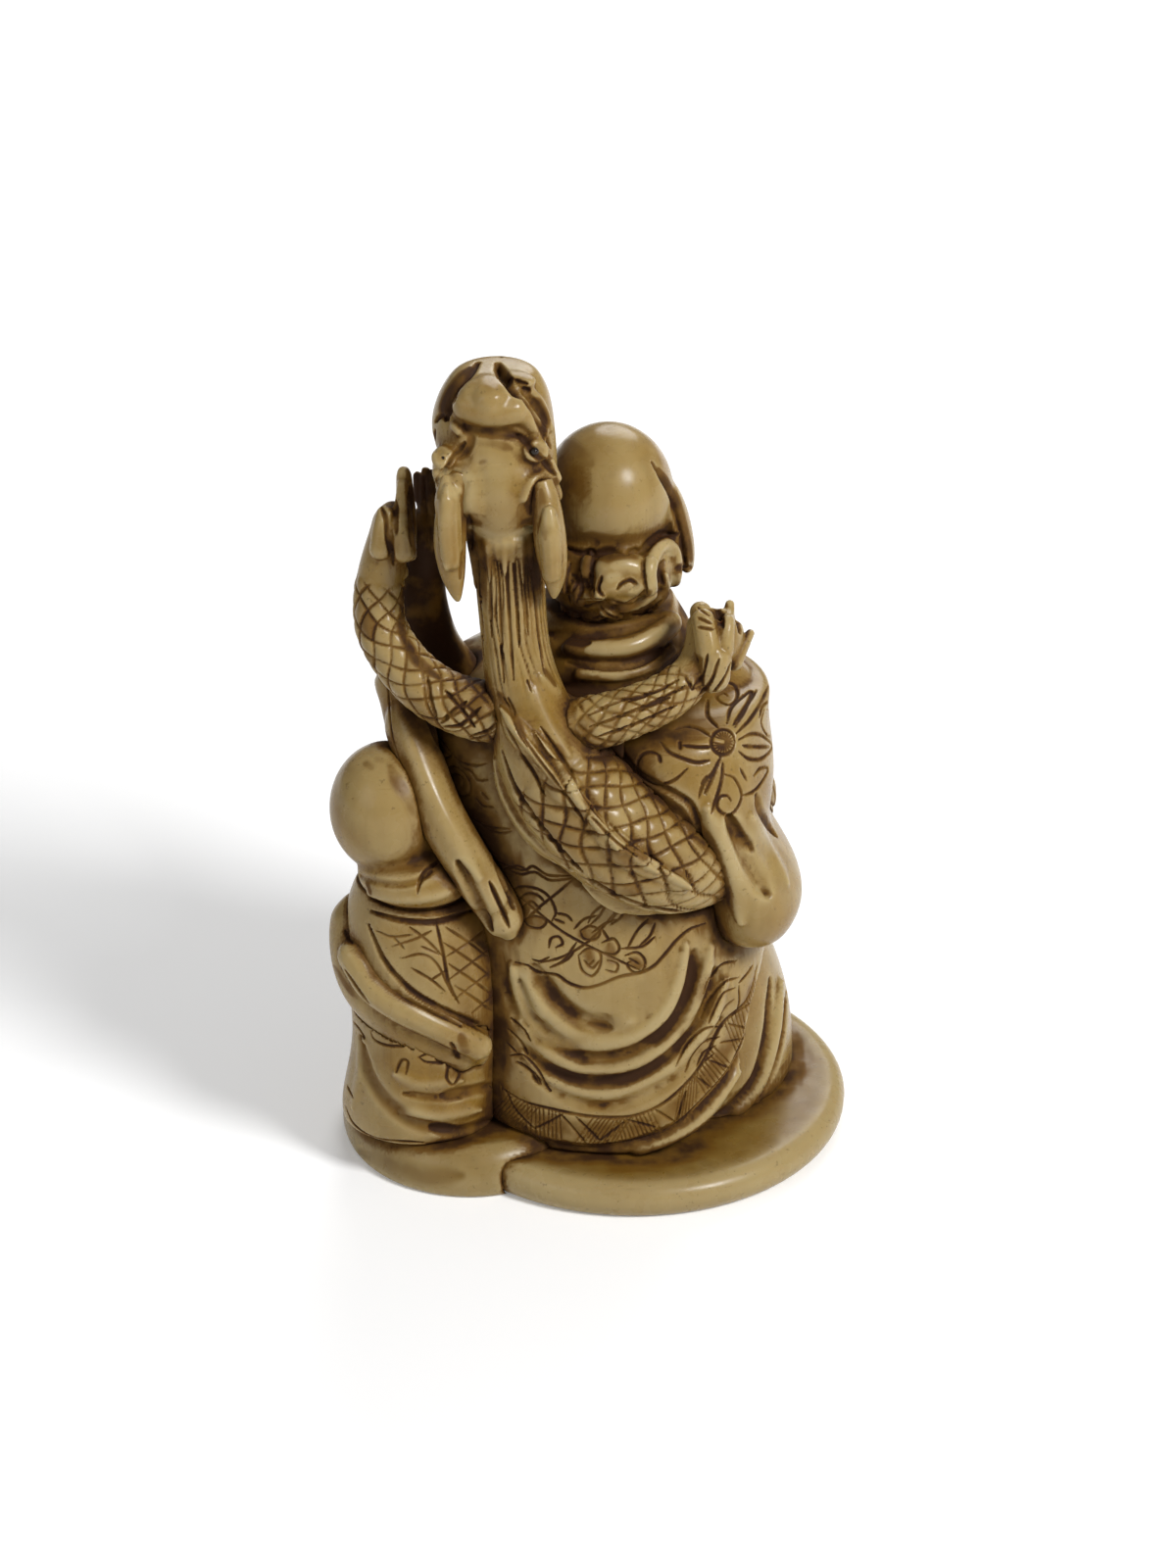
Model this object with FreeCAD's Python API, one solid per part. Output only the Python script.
"""A carved okimono group, pieced together from separate carved blocks on hidden pegs.

A robed sage stands on a round plate, back to -Y. A scaled dragon climbs the sage's back, winds under
the right sleeve and round the front, and lifts its head beside the sage's. A young attendant stands
on a ledge of ground at the sage's left, on the -X side. Lengths are in millimetres, +Z is up, and the
origin is on the flat underside, below the sage's robe.

A table whose name ends in shares holds shares of named sizes. A ring row holds height, side, back,
half width and half depth. A path row holds side, back, height and girth. Heights count from the
plate's top, and all three directions are shares of the sage's robe.
"""

import FreeCAD
import Part

import math
import os

UP = FreeCAD.Vector(0, 0, 1)
RIGHT = FreeCAD.Vector(1, 0, 0)
BACKWARD = FreeCAD.Vector(0, 1, 0)
ORIGIN = FreeCAD.Vector(0, 0, 0)
RING_POINTS = 16

# Sage's robe: the sizes that every path and ring of the figures is a share of
robe_half_width = 12.0
robe_half_depth = 11.4
robe_height = 36.0
robe_corner_power = 2.3
robe_ring_shares = [
    (0.000, 0.133, 0.018, 0.933, 1.009),
    (0.067, 0.133, 0.018, 0.983, 1.035),
    (0.150, 0.117, 0.018, 1.000, 1.026),
    (0.317, 0.083, 0.009, 1.000, 0.991),
    (0.483, 0.017, 0.000, 0.992, 0.930),
    (0.650, -0.042, 0.000, 1.017, 0.877),
    (0.789, -0.058, 0.000, 1.017, 0.825),
    (0.900, -0.042, 0.018, 0.958, 0.737),
    (0.964, 0.033, 0.035, 0.742, 0.640),
    (1.000, 0.083, 0.053, 0.500, 0.544),
]
# The hem rises across the robe. A row holds the share of the half depth and the share of the height.
hem_turn = 18.6
hem_shares = [
    (-1.60, -0.020),
    (-0.93, 0.003),
    (-0.77, 0.012),
    (-0.63, 0.042),
    (-0.42, 0.110),
    (-0.32, 0.190),
    (-0.22, 0.270),
    (0.05, 0.340),
    (0.60, 0.310),
    (1.60, 0.260),
]

# Folds cut into the skirt, each with its ends domed. A row holds the turn round the robe in degrees,
# where -90 faces backward, and the share of the robe's height.
fold_radius = 1.25
fold_standoff = 0.8
skirt_fold_shares = [
    [(-110, 0.420), (-104, 0.355), (-96, 0.315), (-86, 0.305)],
    [(-121, 0.400), (-117, 0.315), (-105, 0.250), (-90, 0.235), (-79, 0.262), (-69, 0.310), (-62, 0.375),
     (-56, 0.450)],
    [(-121, 0.245), (-112, 0.200), (-99, 0.178), (-86, 0.180), (-72, 0.225), (-59, 0.310), (-48, 0.400)],
]

# Plate
plate_thickness = 2.6
plate_radius = 15.8
plate_side = 2.95
plate_back = 0.1
plate_edge_shares = [(0.0, 0.965), (0.28, 0.995), (0.6, 1.0), (0.86, 0.975), (1.0, 0.93)]

# Ledge of ground that laps over the plate's left edge
ledge_half_width = 9.7
ledge_half_depth = 10.8
ledge_thickness = 3.6
ledge_side = -8.9
ledge_back = -2.2
ledge_edge_shares = [(0.0, 0.975), (0.3, 1.0), (0.62, 0.975), (0.86, 0.92), (1.0, 0.85)]

# Inner robe, which shows below the hem and runs up inside the outer robe as its seat
inner_robe_ring_shares = [
    (0.000, 0.375, 0.211, 0.867, 0.860),
    (0.150, 0.350, 0.193, 0.858, 0.850),
    (0.320, 0.260, 0.130, 0.790, 0.760),
    (0.480, 0.150, 0.060, 0.620, 0.600),
]

# Collar
collar_ring_shares = [
    (0.944, 0.083, 0.018, 0.540, 0.605),
    (0.995, 0.083, 0.030, 0.525, 0.600),
    (1.045, 0.083, 0.045, 0.455, 0.510),
    (1.088, 0.083, 0.060, 0.385, 0.425),
]

# Sage's head
skull_half_width = 4.55
skull_half_depth = 4.9
skull_half_height = 4.9
head_side = 1.0
head_back = 1.0
head_rise = 11.0
nape_half_width = 4.9
nape_half_depth = 4.9
nape_half_height = 3.9
nape_drop = 4.8
jaw_half_width = 3.6
jaw_half_depth = 3.6
jaw_half_height = 3.7
jaw_drop = 4.6
jaw_forward = 1.9
ear_half_width = 0.95
ear_half_depth = 1.6
ear_half_height = 3.7
ear_drop = 2.7
ear_lean = 12.0
nose_half_width = 0.8
nose_half_depth = 1.0
nose_half_height = 1.5
nose_drop = 3.0
neck_radius = 3.3
neck_length = 5.2

# Sage's right sleeve, broad and hanging to a bag
right_sleeve_ring_shares = [
    (1.011, 0.642, 0.035, 0.208, 0.246),
    (0.969, 0.617, 0.000, 0.350, 0.465),
    (0.889, 0.483, -0.105, 0.550, 0.702),
    (0.800, 0.567, -0.158, 0.492, 0.754),
    (0.722, 0.717, -0.211, 0.342, 0.711),
    (0.644, 0.817, -0.272, 0.242, 0.623),
    (0.572, 0.917, -0.333, 0.275, 0.553),
    (0.500, 0.950, -0.368, 0.292, 0.491),
    (0.450, 0.942, -0.395, 0.242, 0.386),
    (0.425, 0.942, -0.412, 0.133, 0.228),
]

# Sage's limbs and the narrow left sleeve, which hangs from the raised arm
limb_radius = 2.0
left_sleeve_path_shares = [
    (-1.117, -0.228, 0.994, 0.95),
    (-1.108, -0.333, 0.933, 0.90),
    (-1.042, -0.404, 0.839, 0.85),
    (-0.900, -0.579, 0.719, 0.85),
    (-0.700, -0.754, 0.617, 0.85),
    (-0.542, -0.860, 0.539, 0.75),
    (-0.483, -0.895, 0.489, 0.40),
]
# The part of the sleeve that lies out over the attendant's head
left_sleeve_fold_path_shares = [
    (-1.108, -0.400, 0.935, 0.80),
    (-1.042, -0.580, 0.868, 0.85),
    (-0.900, -0.800, 0.757, 0.85),
    (-0.700, -0.905, 0.643, 0.82),
    (-0.560, -0.900, 0.555, 0.70),
]
raised_arm_path_shares = [
    (-0.867, -0.018, 0.917, 1.30),
    (-0.983, -0.088, 1.011, 1.15),
    (-1.017, -0.140, 1.133, 0.95),
    (-0.967, -0.162, 1.225, 0.80),
    (-0.930, -0.180, 1.310, 0.72),
]
raised_palm_half_width = 1.15
raised_palm_half_depth = 1.0
raised_palm_half_height = 1.8
right_hand_path_shares = [
    (0.850, 0.368, 0.722, 0.70),
    (0.667, 0.667, 0.717, 0.65),
    (0.450, 0.825, 0.722, 0.75),
    (0.250, 0.886, 0.728, 0.55),
]
foot_half_width = 1.9
foot_half_length = 3.0
foot_half_height = 1.5
foot_spread = 3.0
foot_side = 1.55
foot_back_share = 1.070

# Dragon's trunk, neck and tail
dragon_radius = 4.0
dragon_trunk_path_shares = [
    (0.867, -0.228, 0.600, 0.57),
    (0.700, -0.526, 0.603, 0.72),
    (0.417, -0.772, 0.644, 0.97),
    (0.067, -0.842, 0.731, 1.04),
    (-0.217, -0.816, 0.844, 0.95),
    (-0.367, -0.746, 0.967, 0.72),
    (-0.442, -0.658, 1.078, 0.59),
    (-0.475, -0.588, 1.206, 0.59),
    (-0.508, -0.526, 1.358, 0.62),
]
dragon_ridge_radius = 0.85
dragon_ridge_path_shares = [
    (-0.512, -0.895, 0.998, 0.60),
    (-0.418, -0.988, 0.955, 1.10),
    (-0.301, -1.060, 0.912, 0.70),
    (-0.176, -1.114, 0.864, 1.20),
    (-0.026, -1.152, 0.809, 0.70),
    (0.153, -1.174, 0.737, 1.15),
    (0.345, -1.144, 0.685, 0.70),
    (0.537, -1.061, 0.636, 0.90),
]
belly_plate_radius = 0.95
belly_plate_path_shares = [
    [(-0.546, -0.818, 0.900, 0.40), (-0.507, -0.838, 0.832, 0.85), (-0.412, -0.904, 0.768, 1.00),
     (-0.279, -0.954, 0.710, 0.90), (-0.109, -1.020, 0.672, 0.40)],
    [(-0.060, -0.990, 0.650, 0.40), (0.054, -0.983, 0.614, 0.85), (0.214, -0.965, 0.583, 0.90),
     (0.389, -0.920, 0.559, 0.40)],
]
dragon_tail_path_shares = [
    (0.850, -0.088, 0.611, 0.55),
    (0.908, 0.298, 0.617, 0.57),
    (0.750, 0.649, 0.628, 0.57),
    (0.333, 0.868, 0.661, 0.55),
    (-0.217, 0.886, 0.678, 0.49),
    (-0.733, 0.649, 0.661, 0.40),
    (-1.025, 0.298, 0.611, 0.30),
    (-1.108, 0.053, 0.561, 0.17),
]

# Dragon's head, snout up
dragon_muzzle_ring_shares = [
    (1.386, -0.525, -0.509, 0.283, 0.263),
    (1.469, -0.542, -0.474, 0.333, 0.289),
    (1.533, -0.567, -0.430, 0.342, 0.289),
    (1.583, -0.558, -0.395, 0.300, 0.263),
    (1.617, -0.550, -0.377, 0.233, 0.211),
    (1.636, -0.542, -0.368, 0.142, 0.140),
]
dragon_jaw_path_shares = [
    (-0.525, -0.316, 1.350, 1.15),
    (-0.542, -0.167, 1.439, 1.00),
    (-0.558, -0.079, 1.517, 0.80),
    (-0.567, -0.035, 1.572, 0.50),
]
cranium_half_width = 3.8
cranium_half_depth = 3.4
cranium_half_height = 4.4
cranium_seat_shares = (-0.525, -0.526, 1.400)
brow_radius = 1.3
brow_seat_shares = [(-0.775, -0.610, 1.475), (-0.375, -0.610, 1.490)]
nostril_radius = 1.1
nostril_seat_shares = [(-0.665, -0.500, 1.592), (-0.430, -0.500, 1.604)]
eye_radius = 0.5
eye_seat_shares = [(-0.836, -0.735, 1.488), (-0.330, -0.735, 1.503)]

# Horns laid back along the neck
horn_radius = 1.0
left_horn_path_shares = [
    (-0.750, -0.693, 1.456, 0.80),
    (-0.792, -0.746, 1.406, 1.00),
    (-0.808, -0.781, 1.322, 1.10),
    (-0.792, -0.798, 1.256, 0.80),
    (-0.767, -0.798, 1.203, 0.20),
]
right_horn_path_shares = [
    (-0.300, -0.702, 1.439, 0.80),
    (-0.267, -0.754, 1.394, 1.00),
    (-0.242, -0.781, 1.317, 1.10),
    (-0.225, -0.789, 1.256, 0.80),
    (-0.225, -0.789, 1.208, 0.20),
]

# Forelegs with their claws
foreleg_radius = 2.0
left_foreleg_path_shares = [
    (-0.433, -0.737, 0.956, 1.10),
    (-0.783, -0.702, 0.972, 1.00),
    (-1.045, -0.632, 1.025, 0.92),
    (-1.215, -0.544, 1.108, 0.87),
    (-1.225, -0.465, 1.194, 0.82),
    (-1.167, -0.430, 1.283, 0.72),
    (-1.117, -0.395, 1.350, 0.60),
]
right_foreleg_path_shares = [
    (-0.167, -0.807, 0.939, 0.95),
    (0.150, -0.825, 0.967, 0.88),
    (0.433, -0.746, 1.000, 0.80),
    (0.600, -0.614, 1.039, 0.75),
    (0.692, -0.509, 1.089, 1.00),
    (0.700, -0.439, 1.133, 0.70),
]
claw_radius = 0.65
left_claw_path_shares = [
    [(-1.131, -0.440, 1.200, 1.35), (-1.175, -0.432, 1.275, 1.30), (-1.181, -0.424, 1.322, 1.10)],
    [(-1.075, -0.430, 1.240, 1.20), (-1.070, -0.410, 1.340, 1.10), (-1.078, -0.395, 1.425, 0.70)],
]
right_claw_path_shares = [
    [(0.729, -0.500, 1.063, 1.35), (0.660, -0.460, 1.102, 1.35), (0.620, -0.420, 1.130, 1.10)],
    [(0.768, -0.490, 1.061, 1.20), (0.767, -0.450, 1.105, 0.95), (0.778, -0.410, 1.142, 0.40)],
    [(0.786, -0.500, 1.038, 1.20), (0.854, -0.460, 1.063, 0.90), (0.900, -0.430, 1.083, 0.40)],
]

# Attendant on the ledge
attendant_ring_shares = [
    (0.022, -1.042, -0.544, 0.483, 0.430),
    (0.067, -1.042, -0.553, 0.483, 0.447),
    (0.178, -1.008, -0.570, 0.458, 0.447),
    (0.289, -1.000, -0.579, 0.458, 0.439),
    (0.400, -1.017, -0.579, 0.467, 0.430),
    (0.506, -1.050, -0.596, 0.417, 0.386),
    (0.578, -1.083, -0.614, 0.317, 0.307),
]
attendant_sleeve_path_shares = [
    (-1.367, -0.509, 0.522, 0.80),
    (-1.400, -0.579, 0.444, 1.05),
    (-1.300, -0.667, 0.361, 1.35),
    (-1.067, -0.772, 0.294, 1.40),
    (-0.817, -0.816, 0.244, 1.15),
    (-0.633, -0.816, 0.206, 0.75),
]
attendant_skull_half_width = 4.15
attendant_skull_half_depth = 4.3
attendant_skull_half_height = 4.8
attendant_skull_seat_shares = (-1.200, -0.614, 0.733)
attendant_nape_half_width = 4.3
attendant_nape_half_depth = 3.8
attendant_nape_half_height = 2.4
attendant_nape_seat_shares = (-1.030, -0.710, 0.612)

# Pegs in blind holes
peg_radius = 0.9
small_peg_radius = 0.55
peg_clearance = 0.03
# rows: node, pieces it joins, radius, then shares of side, back and height for its two ends
peg_rows = [
    ("base_pegs", ("base_plate", "inner_robe"), peg_radius,
     (0.750, 0.211, -0.042), (0.750, 0.211, 0.094)),
    ("base_pegs", ("base_plate", "inner_robe"), peg_radius,
     (0.050, 0.211, -0.042), (0.050, 0.211, 0.094)),
    ("base_pegs", ("base_plate", "ground_ledge", "attendant_robe"), peg_radius,
     (-1.150, -0.491, -0.042), (-1.150, -0.491, 0.111)),
    ("sage_neck_peg", ("sage_robe", "sage_collar", "sage_head"), peg_radius,
     (0.083, 0.044, 0.878), (0.083, 0.044, 1.133)),
    ("attendant_neck_peg", ("attendant_robe", "attendant_head"), peg_radius,
     (-1.075, -0.649, 0.489), (-1.075, -0.649, 0.661)),
    ("dragon_neck_peg", ("dragon_body", "dragon_head"), peg_radius,
     (-0.492, -0.553, 1.250), (-0.517, -0.509, 1.394)),
    ("sleeve_pegs", ("sage_robe", "right_sleeve"), peg_radius,
     (-0.133, -0.158, 0.817), (0.283, -0.158, 0.817)),
    ("sleeve_pegs", ("sage_robe", "left_sleeve"), small_peg_radius,
     (-0.733, -0.351, 0.717), (-0.900, -0.579, 0.717)),
    ("sleeve_pegs", ("attendant_robe", "attendant_sleeve"), small_peg_radius,
     (-1.017, -0.404, 0.300), (-1.058, -0.754, 0.300)),
    ("hand_pegs", ("sage_robe", "raised_arm"), peg_radius,
     (-0.742, 0.018, 0.833), (-0.933, -0.053, 0.961)),
    ("hand_pegs", ("right_sleeve", "right_hand"), small_peg_radius,
     (0.817, 0.298, 0.722), (0.708, 0.605, 0.719)),
    ("foreleg_pegs", ("dragon_body", "dragon_left_foreleg"), small_peg_radius,
     (-0.433, -0.737, 0.964), (-0.733, -0.711, 0.969)),
    ("foreleg_pegs", ("dragon_body", "dragon_right_foreleg"), small_peg_radius,
     (-0.250, -0.789, 0.944), (0.050, -0.816, 0.958)),
    ("trunk_pegs", ("dragon_body", "right_sleeve"), peg_radius,
     (0.550, -0.649, 0.622), (0.850, -0.281, 0.606)),
    ("trunk_pegs", ("right_sleeve", "dragon_tail"), peg_radius,
     (0.883, 0.088, 0.614), (0.908, 0.439, 0.619)),
]


def seat(side, back, height):
    """A point given in shares of the sage's robe."""
    level = plate_thickness + height * robe_height
    return FreeCAD.Vector(side * robe_half_width, back * robe_half_depth, level)


def ring(centre, half_width, half_depth, side=RIGHT, depth=BACKWARD, power=2):
    """A closed smooth curve round an ellipse, squarer as its power rises above 2."""
    points = []
    for index in range(RING_POINTS):
        angle = 2 * math.pi * index / RING_POINTS
        across = math.copysign(abs(math.cos(angle)) ** (2 / power), math.cos(angle))
        along = math.copysign(abs(math.sin(angle)) ** (2 / power), math.sin(angle))
        points.append(centre + side * (half_width * across) + depth * (half_depth * along))
    curve = Part.BSplineCurve()
    curve.interpolate(Points=points, PeriodicFlag=True)
    return Part.Wire([curve.toShape()])


def upright(rows, power=2):
    """A block lofted through level rings."""
    rings = []
    for height, side, back, width, deep in rows:
        centre = seat(side, back, height)
        rings.append(ring(centre, width * robe_half_width, deep * robe_half_depth, power=power))
    return Part.makeLoft(rings, True, False)


def slab(rows, centre, thickness, half_width, half_depth):
    """A low block with a rounded edge. A row holds height and outline shares."""
    rings = []
    for height, outline in rows:
        level = centre + UP * (height * thickness)
        rings.append(ring(level, outline * half_width, outline * half_depth))
    return Part.makeLoft(rings, True, False)


# Latitudes of the rings that an ellipsoid is lofted through, in degrees
BALL_LATITUDES = (-80, -62, -40, -14, 14, 40, 62, 80)


def ball(centre, half_width, half_depth, half_height, axis=UP, angle=0):
    """An ellipsoid with small flats at its poles, turned about its own centre."""
    rings = []
    for latitude in BALL_LATITUDES:
        rise = math.sin(math.radians(latitude))
        girth = math.cos(math.radians(latitude))
        rings.append(ring(UP * (rise * half_height), girth * half_width, girth * half_depth))
    shape = Part.makeLoft(rings, True, False)
    shape.rotate(ORIGIN, axis, angle)
    shape.translate(centre)
    return shape


def halfway(before, start, end, after):
    """The middle of a smooth curve's span, from the four values around it."""
    return (start + end) * 0.5625 - (before + after) * 0.0625


def smoothed(values):
    """The same values with one more worked out between each pair."""
    result = [values[0]]
    for index in range(len(values) - 1):
        before = values[max(index - 1, 0)]
        after = values[min(index + 2, len(values) - 1)]
        result.append(halfway(before, values[index], values[index + 1], after))
        result.append(values[index + 1])
    return result


# A domed end: shares of the end's radius along the path and across it
DOME_SHARES = [(0.0, 0.34), (0.18, 0.66), (0.5, 0.9)]


def domed(places, sizes):
    """A path whose last point is swapped for the small rings of a domed end."""
    inward = (places[-2] - places[-1]).normalize() * sizes[-1]
    size = sizes[-1]
    places = places[:-1] + [places[-1] + inward * share for share, _ in reversed(DOME_SHARES)]
    sizes = sizes[:-1] + [size * share for _, share in reversed(DOME_SHARES)]
    return places, sizes


def tube(places, sizes, flat_start=True, flat_end=False):
    """A tube of changing girth along a smooth path, domed at an end that is not flat."""
    places = smoothed(places)
    sizes = smoothed(sizes)
    if not flat_end:
        places, sizes = domed(places, sizes)
    if not flat_start:
        places, sizes = domed(places[::-1], sizes[::-1])
    side = None
    rings = []
    for index, place in enumerate(places):
        before = places[max(index - 1, 0)]
        after = places[min(index + 1, len(places) - 1)]
        along = (after - before).normalize()
        if side is None:
            side = along.cross(RIGHT if abs(along.dot(UP)) > 0.7 else UP)
        side = (side - along * side.dot(along)).normalize()
        rings.append(ring(place, sizes[index], sizes[index], side, along.cross(side)))
    return Part.makeLoft(rings, True, False)


def limb(rows, radius, flat_start=True, flat_end=False):
    """A tube along a path that is given in shares of the robe."""
    places = [seat(side, back, height) for side, back, height, _ in rows]
    sizes = [radius * girth for _, _, _, girth in rows]
    return tube(places, sizes, flat_start, flat_end)


def main_solid(shape):
    """The largest solid of a result, without the slivers a cut can leave beside it."""
    return max(shape.Solids, key=lambda solid: solid.Volume)


def joined(*shapes):
    return main_solid(shapes[0].fuse(list(shapes[1:])))


def carved(shape, *seats):
    """What is left of a block once its neighbours' seats are cut out of it."""
    return main_solid(shape.cut(list(seats)))


def claws(paths):
    return [limb(rows, claw_radius) for rows in paths]


def make_plate():
    centre = FreeCAD.Vector(plate_side, plate_back, 0)
    return slab(plate_edge_shares, centre, plate_thickness, plate_radius, plate_radius)


def make_ledge():
    centre = FreeCAD.Vector(ledge_side, ledge_back, 0)
    return slab(ledge_edge_shares, centre, ledge_thickness, ledge_half_width, ledge_half_depth)


def below_hem():
    """The space under the hem, which the outer robe leaves open."""
    reach = 2 * (robe_half_width + robe_half_depth)
    points = []
    for across, height in hem_shares:
        level = plate_thickness + height * robe_height
        points.append(FreeCAD.Vector(-reach / 2, across * robe_half_depth, level))
    curve = Part.BSplineCurve()
    curve.interpolate(Points=points)
    low_end = points[-1] - UP * robe_height
    low_start = points[0] - UP * robe_height
    edges = [curve.toShape(), Part.makeLine(points[-1], low_end), Part.makeLine(low_end, low_start),
             Part.makeLine(low_start, points[0])]
    space = Part.Face(Part.Wire(edges)).extrude(RIGHT * reach)
    space.rotate(ORIGIN, UP, -hem_turn)
    return space


def robe_ring_at(height):
    """The robe's centre and half sizes between its rings, as shares."""
    for low, high in zip(robe_ring_shares, robe_ring_shares[1:]):
        if height <= high[0]:
            part = (height - low[0]) / (high[0] - low[0])
            return [start + (end - start) * part for start, end in zip(low[1:], high[1:])]
    return list(robe_ring_shares[-1][1:])


def beside_robe(turn, height, standoff):
    """A point that stands off the robe's skin, at a turn round it and a share of its height."""
    side, back, half_width, half_depth = robe_ring_at(height)
    angle = math.radians(turn)
    across = math.copysign(abs(math.cos(angle)) ** (2 / robe_corner_power), math.cos(angle))
    along = math.copysign(abs(math.sin(angle)) ** (2 / robe_corner_power), math.sin(angle))
    point = seat(side + half_width * across, back + half_depth * along, height)
    return point + (RIGHT * math.cos(angle) + BACKWARD * math.sin(angle)) * standoff


def skirt_folds():
    """The tubes that cut the skirt's hollow folds."""
    folds = []
    for rows in skirt_fold_shares:
        places = [beside_robe(turn, height, fold_standoff) for turn, height in rows]
        folds.append(tube(places, [fold_radius] * len(places), flat_start=False))
    return folds


def make_sage_head():
    """Skull, nape, jaw, nose, long ears and neck in one block. The face looks to +Y."""
    head_height = plate_thickness + robe_height + head_rise
    centre = FreeCAD.Vector(head_side, head_back, head_height)
    jaw_centre = centre + BACKWARD * jaw_forward - UP * jaw_drop
    nose_centre = FreeCAD.Vector(head_side, jaw_centre.y + jaw_half_depth, head_height - nose_drop)
    nape_centre = centre - BACKWARD * head_back - UP * nape_drop
    pieces = [
        ball(centre, skull_half_width, skull_half_depth, skull_half_height),
        ball(nape_centre, nape_half_width, nape_half_depth, nape_half_height),
        ball(jaw_centre, jaw_half_width, jaw_half_depth, jaw_half_height),
        ball(nose_centre, nose_half_width, nose_half_depth, nose_half_height),
    ]
    for side in (-1, 1):
        ear_centre = centre + RIGHT * (side * nape_half_width) - UP * ear_drop
        lean = -side * ear_lean
        pieces.append(ball(ear_centre, ear_half_width, ear_half_depth, ear_half_height, BACKWARD, lean))
    neck_foot = FreeCAD.Vector(head_side, 0, head_height - nape_drop - neck_length)
    pieces.append(Part.makeCylinder(neck_radius, neck_length, neck_foot))
    return joined(*pieces)


def make_raised_arm():
    arm = limb(raised_arm_path_shares, limb_radius)
    side, back, height, _ = raised_arm_path_shares[-1]
    palm_centre = seat(side, back, height) + UP * (raised_palm_half_height / 2)
    palm = ball(palm_centre, raised_palm_half_width, raised_palm_half_depth, raised_palm_half_height)
    return joined(arm, palm)


def make_feet():
    """The toes of two shoes, flat on the plate, below the front of the inner robe."""
    feet = []
    foot_back = foot_back_share * robe_half_depth
    for side in (-1, 1):
        centre = FreeCAD.Vector(plate_side + foot_side + side * foot_spread, foot_back, plate_thickness)
        corner = centre - RIGHT * foot_half_length - BACKWARD * foot_half_length - UP * plate_thickness
        under = Part.makeBox(2 * foot_half_length, 2 * foot_half_length, plate_thickness, corner)
        feet.append(carved(ball(centre, foot_half_width, foot_half_length, foot_half_height), under))
    return feet


def balls_at(seats, radius):
    return [ball(seat(*place), radius, radius, radius, RIGHT, 90) for place in seats]


def make_dragon_head():
    cranium_centre = seat(*cranium_seat_shares)
    cranium = ball(cranium_centre, cranium_half_width, cranium_half_depth, cranium_half_height)
    muzzle = upright(dragon_muzzle_ring_shares)
    jaw = limb(dragon_jaw_path_shares, limb_radius)
    bumps = balls_at(brow_seat_shares, brow_radius) + balls_at(nostril_seat_shares, nostril_radius)
    return joined(cranium, muzzle, jaw, *bumps)


def make_trunk():
    """The trunk and neck in one block with the ridge down its back and two plates of its belly."""
    trunk = limb(dragon_trunk_path_shares, dragon_radius, flat_end=True)
    ridge = limb(dragon_ridge_path_shares, dragon_ridge_radius, flat_start=False)
    plates = [limb(rows, belly_plate_radius, flat_start=False) for rows in belly_plate_path_shares]
    return joined(trunk, ridge, *plates)


def make_attendant_head():
    skull_centre = seat(*attendant_skull_seat_shares)
    skull = ball(skull_centre, attendant_skull_half_width, attendant_skull_half_depth,
                 attendant_skull_half_height)
    nape_centre = seat(*attendant_nape_seat_shares)
    nape = ball(nape_centre, attendant_nape_half_width, attendant_nape_half_depth,
                attendant_nape_half_height)
    return joined(skull, nape)


def sage_pieces(pieces):
    """The sage's blocks. Each one is cut by those that were fitted before it."""
    pieces["right_sleeve"] = upright(right_sleeve_ring_shares)
    pieces["sage_head"] = make_sage_head()
    collar = upright(collar_ring_shares)
    pieces["sage_collar"] = carved(collar, pieces["sage_head"], pieces["right_sleeve"])
    pieces["inner_robe"] = carved(upright(inner_robe_ring_shares), pieces["ground_ledge"])


def dragon_pieces(pieces):
    """The dragon's blocks, fitted to one another and to the broad sleeve."""
    right_sleeve = pieces["right_sleeve"]
    head = carved(make_dragon_head(), *pieces["dragon_eye_inlays"].Solids)
    body = carved(make_trunk(), right_sleeve, head)
    left_claws = claws(left_claw_path_shares)
    right_claws = claws(right_claw_path_shares)
    left_foreleg = joined(limb(left_foreleg_path_shares, foreleg_radius), *left_claws)
    right_foreleg = joined(limb(right_foreleg_path_shares, foreleg_radius), *right_claws)
    pieces["dragon_head"] = head
    pieces["dragon_body"] = body
    pieces["dragon_tail"] = carved(limb(dragon_tail_path_shares, dragon_radius), right_sleeve)
    pieces["dragon_left_foreleg"] = carved(left_foreleg, body)
    pieces["dragon_right_foreleg"] = carved(right_foreleg, body, right_sleeve)
    pieces["dragon_left_horn"] = carved(limb(left_horn_path_shares, horn_radius), head)
    pieces["dragon_right_horn"] = carved(limb(right_horn_path_shares, horn_radius), head)


def arm_pieces(pieces):
    """The raised arm and the narrow sleeve that hangs from it."""
    left_foreleg = pieces["dragon_left_foreleg"]
    inner_fold = limb(left_sleeve_path_shares, limb_radius, flat_start=False)
    outer_fold = limb(left_sleeve_fold_path_shares, limb_radius, flat_start=False)
    sleeve = carved(joined(inner_fold, outer_fold), left_foreleg)
    pieces["left_sleeve"] = sleeve
    pieces["raised_arm"] = carved(make_raised_arm(), sleeve, left_foreleg, pieces["dragon_head"])


# Every piece with a seat in the outer robe
robe_neighbours = [
    "inner_robe", "ground_ledge", "base_plate", "right_sleeve", "dragon_body", "dragon_tail",
    "sage_collar", "sage_head", "left_sleeve", "raised_arm", "dragon_left_foreleg",
    "dragon_right_foreleg",
]


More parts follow.
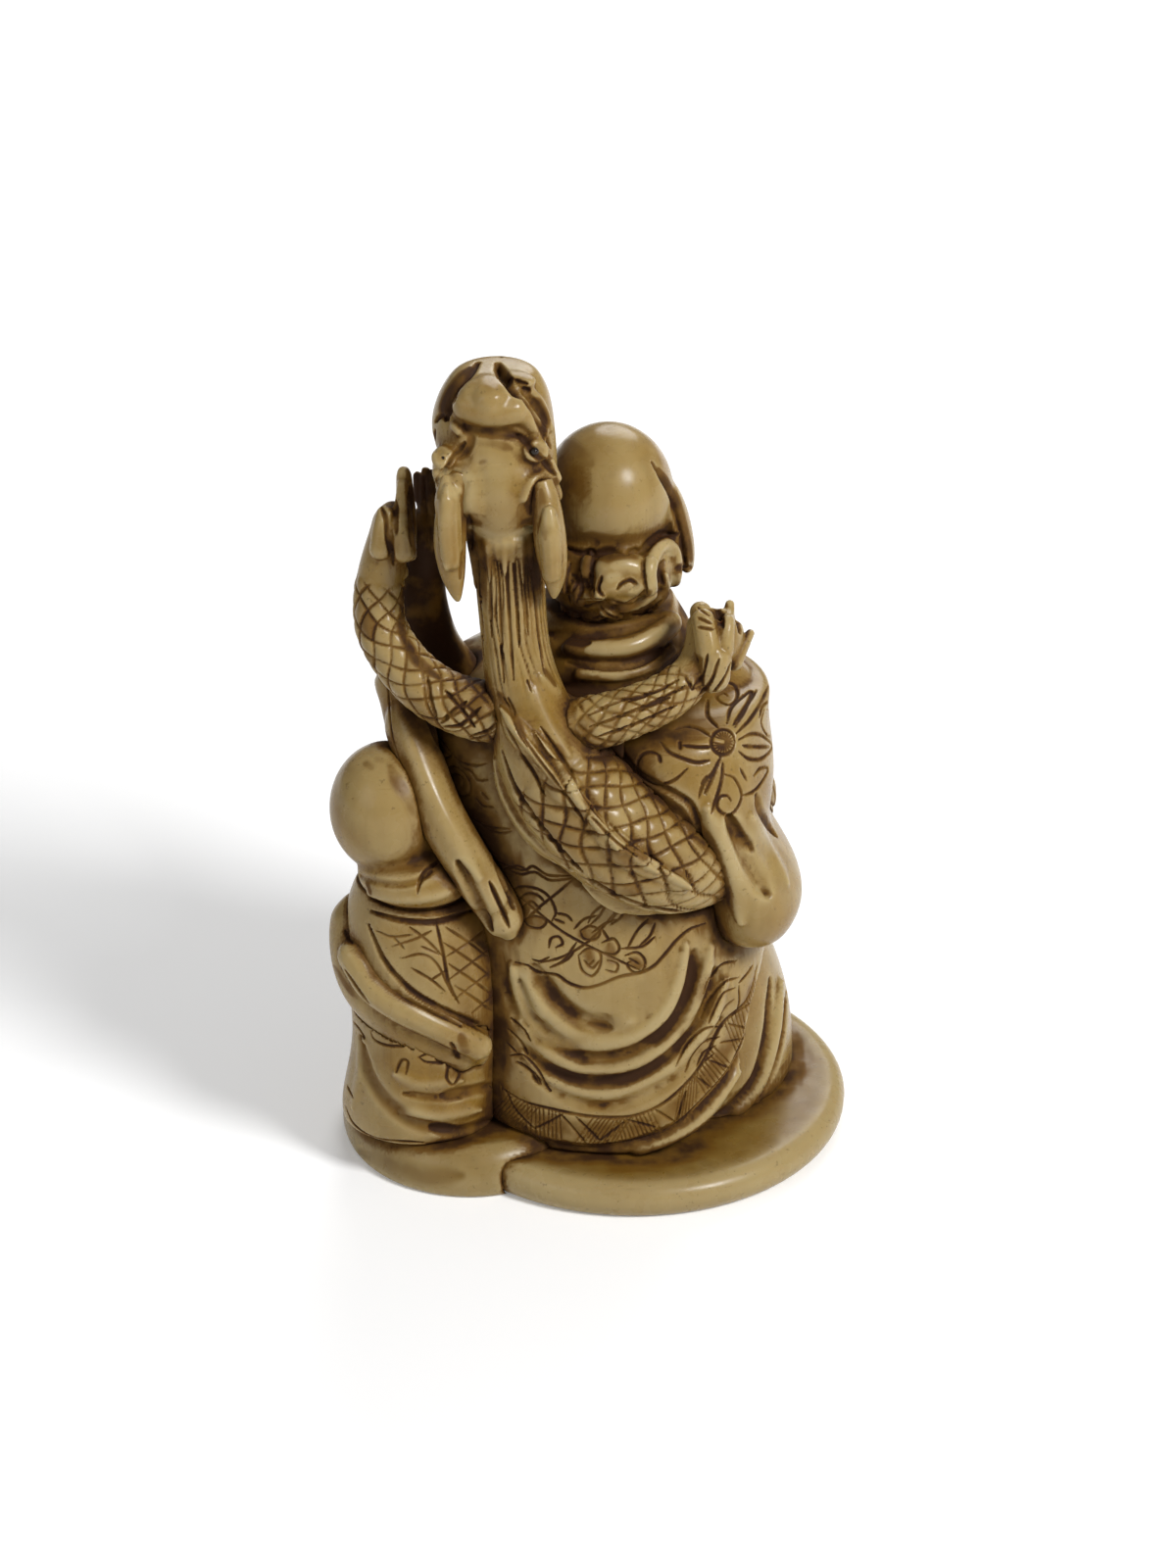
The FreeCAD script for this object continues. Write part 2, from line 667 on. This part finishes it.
def robe_pieces(pieces):
    neighbours = [pieces[name] for name in robe_neighbours]
    block = upright(robe_ring_shares, robe_corner_power)
    robe = carved(block, below_hem(), *neighbours, *skirt_folds())
    pieces["sage_robe"] = robe
    hand = limb(right_hand_path_shares, limb_radius)
    pieces["right_hand"] = carved(hand, pieces["right_sleeve"], robe, pieces["dragon_tail"])
    feet = [carved(foot, pieces["inner_robe"]) for foot in make_feet()]
    pieces["sage_feet"] = Part.makeCompound(feet)


def attendant_pieces(pieces):
    robe = pieces["sage_robe"]
    strap = pieces["left_sleeve"]
    head = carved(make_attendant_head(), robe, strap)
    sleeve = carved(limb(attendant_sleeve_path_shares, limb_radius, flat_start=False), robe, head)
    ground = (pieces["ground_ledge"], pieces["base_plate"])
    pieces["attendant_head"] = head
    pieces["attendant_sleeve"] = sleeve
    pieces["attendant_robe"] = carved(upright(attendant_ring_shares), *ground, robe, strap, head, sleeve)


def drill_and_peg(pieces):
    """Pegs, with a blind hole for each one in every piece that it joins."""
    pegs = {}
    for node, joined_names, radius, start_shares, end_shares in peg_rows:
        start = seat(*start_shares)
        along = seat(*end_shares) - start
        length = along.Length
        along.normalize()
        pegs.setdefault(node, []).append(Part.makeCylinder(radius, length, start, along))
        hole = Part.makeCylinder(radius + peg_clearance, length + 2 * peg_clearance,
                                 start - along * peg_clearance, along)
        for name in joined_names:
            pieces[name] = carved(pieces[name], hole)
    for node, cylinders in pegs.items():
        pieces[node] = Part.makeCompound(cylinders)


def main():
    pieces = {"base_plate": make_plate()}
    pieces["ground_ledge"] = carved(make_ledge(), pieces["base_plate"])
    pieces["dragon_eye_inlays"] = Part.makeCompound(balls_at(eye_seat_shares, eye_radius))
    sage_pieces(pieces)
    dragon_pieces(pieces)
    arm_pieces(pieces)
    robe_pieces(pieces)
    attendant_pieces(pieces)
    drill_and_peg(pieces)
    os.makedirs("parts", exist_ok=True)
    for name, shape in pieces.items():
        shape.exportStep(os.path.join("parts", name + ".step"))
        print(f"{name:22s} solids {len(shape.Solids)} valid {shape.isValid()} {shape.Volume:9.2f}")


main()
